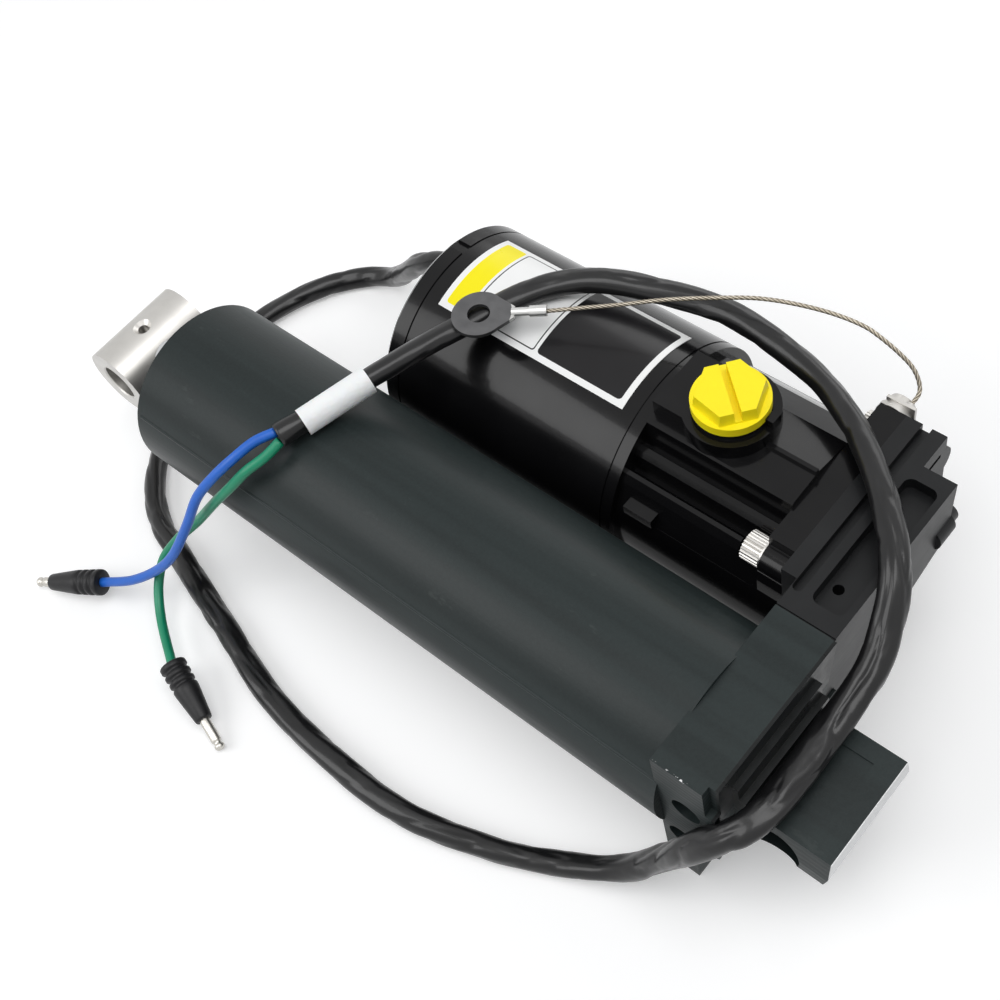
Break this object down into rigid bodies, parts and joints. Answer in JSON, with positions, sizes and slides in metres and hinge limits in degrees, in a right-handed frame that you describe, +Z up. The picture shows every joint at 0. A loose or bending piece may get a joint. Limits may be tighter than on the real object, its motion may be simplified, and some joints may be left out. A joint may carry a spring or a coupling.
{
  "type": "power trim and tilt unit",
  "caption": "Hydraulic trim and tilt ram with a rod eye, pivot lug, side-mounted electric motor, gear pump, oil reservoir, valve manifold, yellow filler cap, wiring loom and tether ring.",
  "frame": {"origin": "centre of the lower pivot bore in the base lug", "axes": "+X along the ram from the pivot bore towards the rod eye; the motor and reservoir lie on the -Y side; +Z up, with the table or rest plane at Z -50 mm"},
  "size_m": [0.3597, 0.2352, 0.1024],
  "materials": {
    "cylinder_coat": "satin dark grey-green coating on aluminium, fine and slightly rubbed",
    "casting_coat": "satin black coating on a machined casting",
    "gloss_enamel": "gloss black enamel",
    "gloss_casting": "gloss black enamel on an aluminium casting",
    "bright_steel": "turned stainless steel, satin",
    "plain_steel": "machined steel",
    "chromed_steel": "ground and chromed",
    "aluminium_part": "turned aluminium",
    "dark_plate": "dark plated sheet",
    "black_rubber": "moulded black rubber",
    "sleeve_plastic": "shrunk black sleeve with soft wrinkles",
    "yellow_plastic": "moulded yellow plastic",
    "blue_insulation": "blue wire insulation",
    "green_insulation": "green wire insulation",
    "white_tag": "plain white sleeve",
    "label_film": "plain coloured panels in a white border",
    "bronze": "sintered bronze",
    "copper": "enamelled copper",
    "ferrite": "dark ferrite and laminated iron",
    "phenolic": "brown phenolic board",
    "carbon": "carbon brush",
    "spring_wire": "spring wire",
    "stranded_steel": "stranded stainless cable"
  },
  "bodies": {
    "housing": {"ram_cylinder": "cylinder_coat", "end_cap": "casting_coat", "rod_wiper": "black_rubber", "rod_seal": "black_rubber", "gland_o_ring": "black_rubber", "manifold": "casting_coat", "manifold_screws": "plain_steel", "port_seals": "black_rubber", "valve_plug": "plain_steel", "up_spring": "spring_wire", "down_spring": "spring_wire", "reservoir": "gloss_casting", "reservoir_seal": "black_rubber", "reservoir_screws": "bright_steel", "pump_body": "aluminium_part", "pump_cover": "plain_steel", "pump_screws": "plain_steel", "pump_filter": "bronze", "motor_flange": "gloss_casting", "motor_can": "gloss_enamel", "motor_end_cap": "gloss_casting", "motor_bolts": "plain_steel", "magnets": "ferrite", "brush_plate": "phenolic", "brushes": "carbon", "brush_springs": "spring_wire", "bushings": "bronze", "shaft_seal": "black_rubber", "can_label": "label_film", "grommet": "black_rubber", "harness_sleeve": "sleeve_plastic", "tag_sleeve": "white_tag", "blue_wire": "blue_insulation", "green_wire": "green_insulation", "wire_boots": "black_rubber", "bullet_terminals": "bright_steel", "tether_cable": "stranded_steel", "tether_ring": "dark_plate", "anchor_screw": "bright_steel"},
    "rod_carrier": {"piston_seal": "black_rubber"},
    "rod": {"piston_rod": "chromed_steel", "rod_eye": "bright_steel", "piston": "aluminium_part", "piston_nut": "plain_steel"},
    "memory": {"memory_piston": "aluminium_part", "memory_seal": "black_rubber"},
    "armature": {"armature_shaft": "plain_steel", "armature_core": "ferrite", "armature_windings": "copper", "commutator": "copper", "drive_coupling": "plain_steel", "drive_gear": "plain_steel"},
    "driven_gear_body": {"driven_gear": "plain_steel"},
    "cap_carrier": {"cap_seal": "black_rubber"},
    "cap": {"fill_cap": "yellow_plastic"},
    "valve_carrier": {"release_seal": "black_rubber"},
    "valve": {"release_valve": "dark_plate"},
    "spool": {"shuttle_spool": "plain_steel"},
    "up_poppet_body": {"up_poppet": "bronze"},
    "down_poppet_body": {"down_poppet": "bronze"}
  },
  "joints": [
    {"name": "rod_slide", "type": "slide", "parent": "housing", "child": "rod_carrier", "axis": [1, 0, 0], "range_m": [0, 0.16]},
    {"name": "rod_turn", "type": "hinge", "parent": "rod_carrier", "child": "rod", "pos_m": [0.2, 0, 0], "axis": [1, 0, 0], "continuous": true},
    {"name": "memory_slide", "type": "slide", "parent": "housing", "child": "memory", "axis": [1, 0, 0], "range_m": [0, 0.1605]},
    {"name": "motor_spin", "type": "hinge", "parent": "housing", "child": "armature", "pos_m": [0.15, -0.0826, -0.0061], "axis": [1, 0, 0], "continuous": true},
    {"name": "gear_spin", "type": "hinge", "parent": "housing", "child": "driven_gear_body", "pos_m": [0.055, -0.0826, -0.0221], "axis": [1, 0, 0], "continuous": true},
    {"name": "cap_lift", "type": "slide", "parent": "housing", "child": "cap_carrier", "axis": [0, 0, 1], "range_m": [0, 0.004]},
    {"name": "cap_turn", "type": "hinge", "parent": "cap_carrier", "child": "cap", "pos_m": [0.091, -0.083, 0.0434], "axis": [0, 0, 1], "range_deg": [0, 721]},
    {"name": "valve_lift", "type": "slide", "parent": "housing", "child": "valve_carrier", "axis": [0, -1, 0], "range_m": [0, 0.002]},
    {"name": "valve_turn", "type": "hinge", "parent": "valve_carrier", "child": "valve", "pos_m": [0.021, -0.1015, 0.011], "axis": [0, -1, 0], "range_deg": [0, 721]},
    {"name": "spool_slide", "type": "slide", "parent": "housing", "child": "spool", "axis": [0, 1, 0], "range_m": [-0.002, 0.002]},
    {"name": "up_check", "type": "slide", "parent": "housing", "child": "up_poppet_body", "axis": [0, 1, 0], "range_m": [0, 0.0015], "stiffness_N_per_m": 800, "springref_m": -0.002, "deforming": ["up_spring"]},
    {"name": "down_check", "type": "slide", "parent": "housing", "child": "down_poppet_body", "axis": [0, -1, 0], "range_m": [0, 0.0015], "stiffness_N_per_m": 800, "springref_m": -0.002, "deforming": ["down_spring"]}
  ],
  "couplings": [
    {"joint": "memory_slide", "follows": "rod_slide", "ratio": 1},
    {"joint": "gear_spin", "follows": "motor_spin", "ratio": -1},
    {"joint": "cap_turn", "follows": "cap_lift", "rad_per_m": 3141.6},
    {"joint": "valve_turn", "follows": "valve_lift", "rad_per_m": 6283.2}
  ]
}
